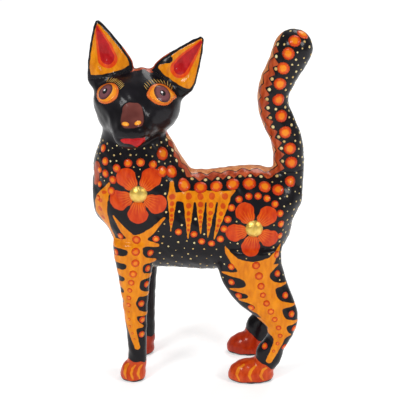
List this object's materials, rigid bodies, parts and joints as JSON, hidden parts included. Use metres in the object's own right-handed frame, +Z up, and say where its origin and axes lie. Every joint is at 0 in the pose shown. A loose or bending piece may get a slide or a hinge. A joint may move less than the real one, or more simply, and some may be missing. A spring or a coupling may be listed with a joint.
{
  "type": "alebrije figure",
  "caption": "Carved and painted wooden standing animal with a turned head, raised tail, pull-off ears and tail, and domed brass tacks.",
  "frame": {"origin": "middle of the figure's footprint box, on the surface that it stands on", "axes": "+Z up; the animal looks along -X with its tail at +X; its left flank and its turned face look along -Y"},
  "size_m": [0.1222, 0.0588, 0.2044],
  "materials": {
    "painted_wood": "gloss lacquer paint over carved soft wood",
    "dowel_wood": "bare, turned",
    "tack_brass": "polished"
  },
  "bodies": {
    "figure": {"torso": "painted_wood", "head": "painted_wood", "front_leg_left": "painted_wood", "front_leg_right": "painted_wood", "hind_leg_left": "painted_wood", "hind_leg_right": "painted_wood", "neck_dowel": "dowel_wood", "front_leg_dowel_left": "dowel_wood", "front_leg_dowel_right": "dowel_wood", "hind_leg_dowel_left": "dowel_wood", "hind_leg_dowel_right": "dowel_wood", "shoulder_tack_left": "tack_brass", "shoulder_tack_right": "tack_brass", "haunch_tack_left": "tack_brass", "haunch_tack_right": "tack_brass"},
    "tail_piece": {"tail": "painted_wood", "tail_dowel": "dowel_wood"},
    "ear_left_piece": {"ear_left": "painted_wood", "ear_dowel_left": "dowel_wood"},
    "ear_right_piece": {"ear_right": "painted_wood", "ear_dowel_right": "dowel_wood"}
  },
  "joints": [
    {"name": "tail_pull", "type": "slide", "parent": "figure", "child": "tail_piece", "axis": [0, 0, 1], "range_m": [0, 0.025]},
    {"name": "ear_left_pull", "type": "slide", "parent": "figure", "child": "ear_left_piece", "axis": [0.5736, 0, 0.8192], "range_m": [0, 0.015]},
    {"name": "ear_right_pull", "type": "slide", "parent": "figure", "child": "ear_right_piece", "axis": [-0.2419, 0, 0.9703], "range_m": [0, 0.015]}
  ]
}
